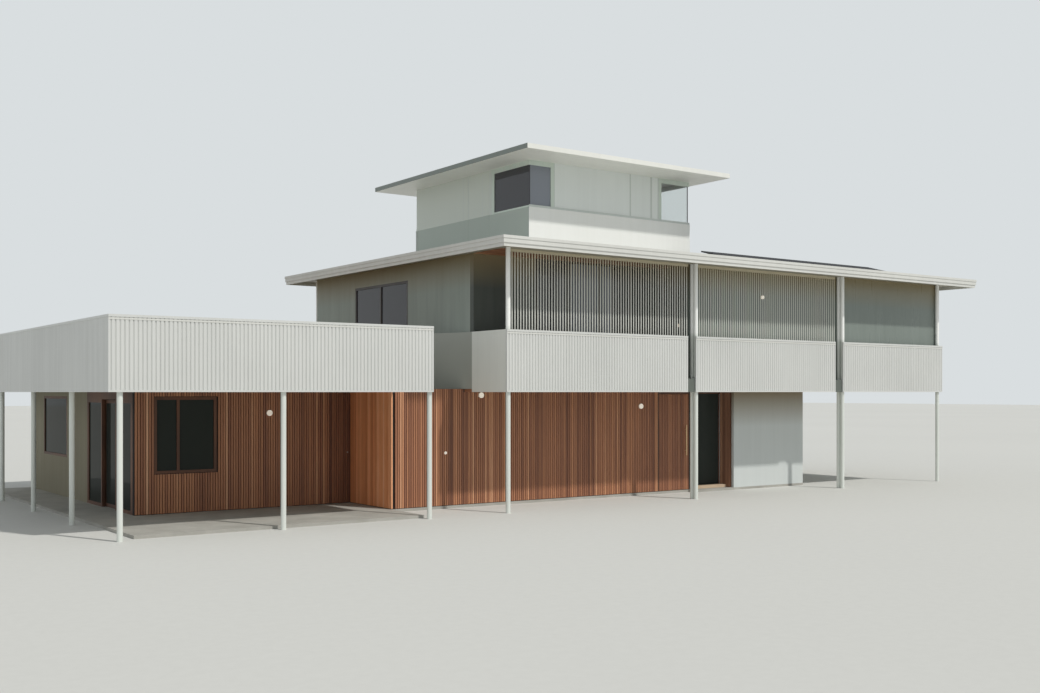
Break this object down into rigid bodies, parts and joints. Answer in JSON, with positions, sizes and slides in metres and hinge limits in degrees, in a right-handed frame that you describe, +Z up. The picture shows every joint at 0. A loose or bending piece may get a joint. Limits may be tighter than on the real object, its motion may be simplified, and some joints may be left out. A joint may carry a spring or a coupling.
{
  "type": "two-storey beach house with roof room",
  "caption": "Flat-roofed beach house: white ribbed bands on slim posts, timber ground floor, slatted veranda and a room on the roof.",
  "frame": {"origin": "on the ground under the middle of the house's outline", "axes": "+X to the right along the front, +Y from the front to the back, +Z up"},
  "size_m": [23.983, 13.108, 8.325],
  "materials": {
    "concrete": "smooth grey concrete",
    "timber": "oiled hardwood battens",
    "joinery": "oiled timber frames",
    "white_sheet": "white ribbed steel sheet",
    "white_trim": "white folded steel trims",
    "post_paint": "pale painted steel tube",
    "slat_paint": "powder coated slats",
    "wall_sheet": "pale green-grey wall sheet",
    "popup_sheet": "pale flat wall panels",
    "white_wall": "painted smooth render",
    "cream_wall": "cream render",
    "frame_paint": "pale green-grey window frames",
    "deck": "floor and deck structure",
    "roof_sheet": "pale roof sheet",
    "window_glass": "dark clear glass",
    "panel_glass": "dark panel glass",
    "steel": "satin steel",
    "lamp": "opal white"
  },
  "bodies": {
    "house": {"ground_slab": "concrete", "timber_front_wall": "timber", "timber_return_wall": "timber", "wing_front_wall": "timber", "wing_side_wall": "cream_wall", "wing_back_wall": "cream_wall", "white_wall": "white_wall", "east_ground_wall": "white_wall", "back_ground_wall": "white_wall", "entry_frame": "joinery", "ground_window_frames": "joinery", "ground_glass": "window_glass", "wall_lights": "lamp", "main_posts": "post_paint", "wing_posts": "post_paint", "upper_floor": "deck", "wing_deck": "deck", "link_deck": "deck", "band_bay_1": "white_sheet", "band_bay_2": "white_sheet", "band_bay_3": "white_sheet", "back_bands": "white_sheet", "curved_balustrade": "white_trim", "wing_band_front": "white_sheet", "wing_band_west": "white_sheet", "wing_back_bands": "white_sheet", "screen_bay_1": "slat_paint", "screen_bay_2": "slat_paint", "veranda_wall": "wall_sheet", "front_upper_wall": "wall_sheet", "side_upper_walls": "wall_sheet", "back_upper_wall": "wall_sheet", "upper_frames": "frame_paint", "upper_glass": "window_glass", "main_roof": "roof_sheet", "main_fascia": "white_trim", "popup_bands": "white_sheet", "popup_walls": "popup_sheet", "popup_roof": "white_trim", "solar_panels": "panel_glass", "solar_racks": "steel"},
    "front_door": {"front_door": "timber", "door_pull": "steel"},
    "terrace_door": {"terrace_door": "joinery", "terrace_door_glass": "window_glass"}
  },
  "joints": [
    {"name": "front_door_hinge", "type": "hinge", "parent": "house", "child": "front_door", "pos_m": [2.0215, -4.1067, 0], "axis": [0, 0, 1], "range_deg": [0, 90]},
    {"name": "terrace_door_slide", "type": "slide", "parent": "house", "child": "terrace_door", "axis": [0, 1, 0], "range_m": [0, 1.016]}
  ]
}
